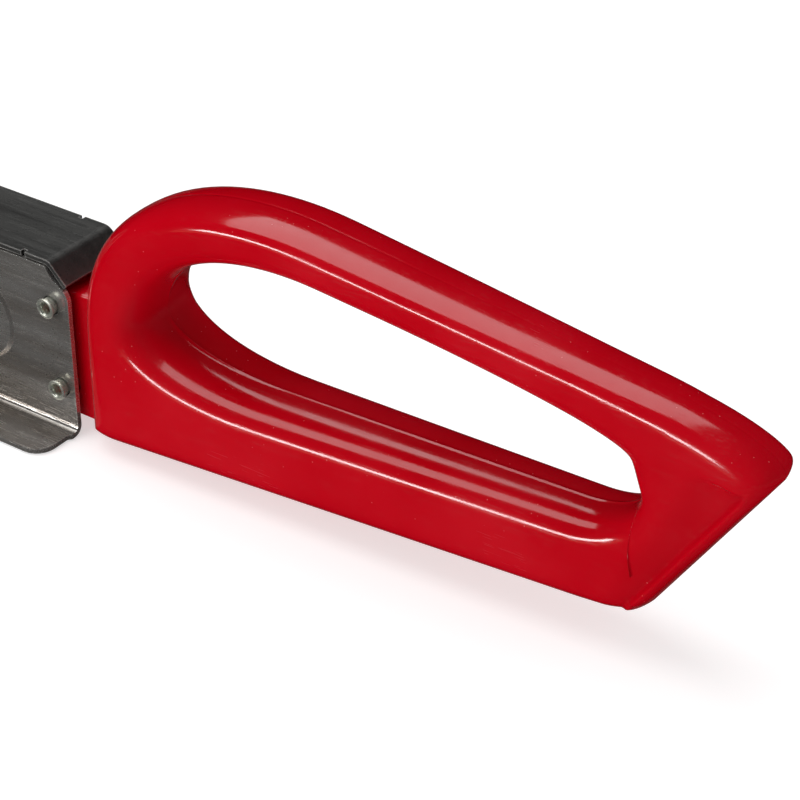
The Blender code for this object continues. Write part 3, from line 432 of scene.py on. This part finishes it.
JAW = solid_metal(
    "blackened_jaw_steel", light=(0.20, 0.198, 0.20), dark=(0.10, 0.10, 0.105),
    rough_low=0.36, rough_high=0.56, scale=110.0, grain=0.35, shine=0.8)
SPRING = solid_metal(
    "blued_spring_steel", light=(0.22, 0.24, 0.30), dark=(0.10, 0.11, 0.16),
    rough_low=0.22, rough_high=0.36, scale=80.0, grain=0.08, shine=0.5)

FINISHES = {
    "red_plastic": RED,
    "pressed_sheet": SHEET,
    "web_sheet": SHADED_WEB_SHEET,
    "zinc_rivet": ZINC,
    "machined_steel": MACHINED,
    "forged_steel": FORGED,
    "jaw_steel": JAW,
    "spring_steel": SPRING,
}


def finish_cad_nodes():
    """Every kept node gets its finish, a small softened edge and even shading over its flats and rounds."""
    for part in frame["record"]["subparts"]:
        node = frame["nodes"][part["node"]]
        slot = part["material_slot"]
        node.data.materials.clear()
        node.data.materials.append(FINISHES[slot])
        weld = node.modifiers.new("weld", "WELD")
        weld.merge_threshold = WELD_WITHIN
        soften = node.modifiers.new("soften", "BEVEL")
        soften.limit_method = "ANGLE"
        soften.angle_limit = SOFTEN_BEYOND
        soften.width = SHEET_EDGE_WIDTH if slot in SHEET_SLOTS else EDGE_WIDTH
        soften.segments = SOFTEN_STEPS
        even = node.modifiers.new("even", "WEIGHTED_NORMAL")
        even.mode = "FACE_AREA_WITH_ANGLE"


# ---------------------------------------------------------------- handle


def blended_ring(corners):
    """The points of a closed outline: a soft curve round each corner, then a straight run to the next."""
    ring = []
    count = len(corners)
    tips = [Vector(corner[:2]) for corner in corners]
    starts = []
    ends = []
    for index, corner in enumerate(corners):
        before = (tips[index - 1] - tips[index]).normalized()
        after = (tips[(index + 1) % count] - tips[index]).normalized()
        starts.append(tips[index] + before * corner[2])
        ends.append(tips[index] + after * corner[3])
    for index in range(count):
        first, last = starts[index], ends[index]
        pull_first = first.lerp(tips[index], CIRCLE_BLEND)
        pull_last = last.lerp(tips[index], CIRCLE_BLEND)
        for step in range(ARC_STEPS):
            t = step / ARC_STEPS
            from_first = first * (1 - t) ** 3 + pull_first * 3 * (1 - t) ** 2 * t
            ring.append(from_first + pull_last * 3 * (1 - t) * t**2 + last * t**3)
        for step in range(LINE_STEPS):
            ring.append(last.lerp(starts[(index + 1) % count], step / LINE_STEPS))
    return ring


def signed_power(value, power):
    return math.copysign(abs(value) ** power, value)


def share_between(value, ends):
    """How far value lies between two ends, held within 0 and 1."""
    return min(1.0, max(0.0, (value - ends[0]) / (ends[1] - ends[0])))


def eased(share):
    return share * share * (3 - 2 * share)


def handle_half(x, z):
    """Half the handle's width: it narrows to the tail, and the upper bar is narrower than the lower."""
    lower = LOWER_HALF[0] + (LOWER_HALF[1] - LOWER_HALF[0]) * x / HANDLE_LENGTH
    upper = UPPER_HALF[0] + (UPPER_HALF[1] - UPPER_HALF[0]) * share_between(x, UPPER_TAPER)
    return lower + (upper - lower) * eased(share_between(z, BAR_BLEND))


def beside(line, x, z):
    """How far a point lies to the right of a line, seen along it."""
    start, end = Vector(line[0]), Vector(line[1])
    along = (end - start).normalized()
    return (x - start.x) * along.y - (z - start.y) * along.x


def web_recess(x, z):
    """How deep the web at the tail sits in from the handle's side at this spot, in mm."""
    below_bar = eased(share_between(beside(WEB_TOP, x, z), (0, WEB_FILLET)))
    inside_rim = eased(share_between(-beside(WEB_RIM, x, z), RIM_EDGE))
    behind_bar = eased(share_between(beside(WEB_FRONT, x, z), WEB_FRONT_FADE))
    return WEB_DEPTH * below_bar * inside_rim * behind_bar


def distances(points, ring, left_out=range(0)):
    """How far each point lies from the nearest piece of a closed outline, some pieces left out."""
    nearest = np.full(len(points), np.inf)
    for index, start in enumerate(ring):
        if index in left_out:
            continue
        along = ring[(index + 1) % len(ring)] - start
        share = np.clip((points - start) @ along / (along @ along), 0, 1)
        gap = points - start - share[:, None] * along
        nearest = np.minimum(nearest, np.hypot(gap[:, 0], gap[:, 1]))
    return nearest


def rounded(distance, reach):
    """The share of full width at a distance in from an outline, rising to 1 over the reach."""
    outside = 1 - np.clip(distance / reach, 0, 1)
    return (1 - outside**DEPTH_POWER) ** (1 / WIDTH_POWER)


def section_profile():
    """Points round one section: share of the way out, side, y on the parting line and its lift."""
    points = []
    for step in range(SECTION_STEPS):
        angle = 2 * math.pi * step / SECTION_STEPS
        if step in (0, SECTION_STEPS // 2):
            inside = step == 0
            side = 1 if inside else -1
            lift = -PARTING_LIFT if inside else -PARTING_LIFT / 2
            edge = 0.0 if inside else 1.0
            ridge = ((PARTING_FOOT, 0), (PARTING_HALF, lift), (-PARTING_HALF, lift), (-PARTING_FOOT, 0))
            for y, raised in ridge:
                points.append((edge, 0, side * y, raised))
            continue
        share = 0.5 - 0.5 * signed_power(math.cos(angle), 2 / DEPTH_POWER)
        points.append((share, -math.copysign(1, math.sin(angle)), 0, 0))
    return points


def loop_handle():
    """The closed loop, rounded in from both outlines and webbed in its tail corner."""
    outers, inners = blended_ring(HANDLE_OUTER), blended_ring(HANDLE_INNER)
    outer_ring, inner_ring = np.array(outers), np.array(inners)
    profile = section_profile()
    bm = bmesh.new()
    sections = []
    for outer, inner in zip(outers, inners):
        outward = (outer - inner).normalized()
        flat = np.array([inner.lerp(outer, share) for share, side, foot, lift in profile])
        from_inner = distances(flat, inner_ring)
        from_outer = distances(flat, outer_ring, SLOPING_END)
        reach = np.minimum(ROUNDING, (from_inner + from_outer) / 2)
        section = []
        for index, (share, side, foot, lift) in enumerate(profile):
            x, z = flat[index]
            end_in = max(0.0, -beside(WEB_RIM, x, z))
            width = (handle_half(x, z) - web_recess(x, z)) * rounded(from_inner[index], reach[index])
            width *= rounded(from_outer[index], reach[index]) * rounded(end_in, END_ROUNDING)
            at = Vector((x, z)) + outward * lift
            section.append(bm.verts.new(place(at.x, foot + side * width, at.y)))
        sections.append(section)
    for index, section in enumerate(sections):
        following = sections[(index + 1) % len(sections)]
        for step in range(len(section)):
            after = (step + 1) % len(section)
            bm.faces.new((section[step], section[after], following[after], following[step]))
    bmesh.ops.recalc_face_normals(bm, faces=bm.faces)
    return finished_piece("loop_handle", bm, RED, "wrench_body", "red_plastic", "handle_grip")


def finished_piece(name, bm, finish, body, slot, *nodes):
    """A smooth-shaded piece that rides on a body and stands in for the given nodes; its slot argument is not
    used.
    """
    mesh = bpy.data.meshes.new(name)
    bm.to_mesh(mesh)
    bm.free()
    mesh.shade_smooth()
    mesh.materials.append(finish)
    obj = bpy.data.objects.new(name, mesh)
    bpy.context.scene.collection.objects.link(obj)
    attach(obj, body)
    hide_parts(*nodes)
    return obj


def handle_tongue():
    """The block that carries the handle into the body, with eased edges."""
    low = place(*TONGUE_LOW)
    high = place(*TONGUE_HIGH)
    bm = bmesh.new()
    bmesh.ops.create_cube(bm, size=1)
    bmesh.ops.transform(bm, verts=bm.verts, matrix=Matrix.Diagonal((*(high - low), 1)))
    bmesh.ops.translate(bm, verts=bm.verts, vec=(low + high) / 2)
    bmesh.ops.bevel(
        bm, geom=bm.edges[:], offset=TONGUE_EDGE, segments=SOFTEN_STEPS, profile=0.5, affect="EDGES")
    return finished_piece("handle_tongue", bm, RED, "wrench_body", "red_plastic", "handle_grip")


# ---------------------------------------------------------------- stage


def floor():
    """A plain pale floor, a little self-lit so that it stays even and takes only a faint shadow."""
    bm = bmesh.new()
    bmesh.ops.create_grid(bm, x_segments=1, y_segments=1, size=FLOOR_REACH)
    mesh = bpy.data.meshes.new("studio_floor")
    bm.to_mesh(mesh)
    bm.free()
    made, tree, shader = new_material("pale_floor", Roughness=0.7, Emission_Strength=0.55)
    where = add(tree, "ShaderNodeTexCoord")
    noise = add(tree, "ShaderNodeTexNoise", {"Vector": where.outputs["Object"], "Scale": 3.0})
    shade = ramp(tree, noise.outputs["Fac"], ((0.3, grey(0.62)), (0.7, grey(0.64))))
    tree.links.new(shade, shader.inputs["Base Color"])
    glow = ramp(tree, noise.outputs["Fac"], ((0.3, grey(0.98)), (0.7, grey(1.0))))
    tree.links.new(glow, shader.inputs["Emission Color"])
    mesh.materials.append(made)
    obj = bpy.data.objects.new("studio_floor", mesh)
    obj.location = (0, 0, -FLOOR_DROP)
    obj.visible_glossy = False
    bpy.context.scene.collection.objects.link(obj)


def area_light(name, direction, distance, width, height, radiance, colour=(1, 1, 1)):
    """A rectangular light seen from the handle along a direction, as bright as its radiance says."""
    aim = place(*LIGHT_AIM)
    data = bpy.data.lights.new(name, "AREA")
    data.shape = "RECTANGLE"
    data.size = width
    data.size_y = height
    data.energy = radiance * math.pi * width * height
    data.color = colour
    obj = bpy.data.objects.new(name, data)
    away = Vector(direction).normalized()
    obj.location = aim + away * distance
    obj.rotation_euler = away.to_track_quat("Z", "Y").to_euler()
    bpy.context.scene.collection.objects.link(obj)


def lights():
    area_light("overhead_softbox", (-0.35, 0.04, 0.90), 1.0, 1.0, 0.85, 2.3)
    area_light("front_strip", (-0.41, -0.89, 0.21), 1.2, 0.9, 0.12, 17.0)
    area_light("warm_card", (-0.43, -0.90, 0.035), 1.2, 1.0, 0.06, 0.9, (1.0, 0.62, 0.38))
    world = bpy.data.worlds.new("studio")
    world.use_nodes = True
    world.node_tree.nodes["Background"].inputs["Color"].default_value = (1, 1, 1, 1)
    world.node_tree.nodes["Background"].inputs["Strength"].default_value = 0.55
    world.cycles_visibility.glossy = False
    bpy.context.scene.world = world


def camera():
    azimuth, elevation = math.radians(VIEW_AZIMUTH), math.radians(VIEW_ELEVATION)
    level = math.cos(elevation)
    back = Vector((math.sin(azimuth) * level, -math.cos(azimuth) * level, math.sin(elevation)))
    target = place(*VIEW_TARGET)
    data = bpy.data.cameras.new("camera")
    data.lens = LENS
    data.sensor_width = SENSOR
    data.clip_start = NEAR_CLIP
    obj = bpy.data.objects.new("camera", data)
    obj.location = target + back * VIEW_DISTANCE * MM
    obj.rotation_euler = back.to_track_quat("Z", "Y").to_euler()
    bpy.context.scene.collection.objects.link(obj)
    bpy.context.scene.camera = obj


finish_cad_nodes()
loop_handle()
handle_tongue()
floor()
lights()
camera()
bpy.context.scene.view_settings.view_transform = "Standard"
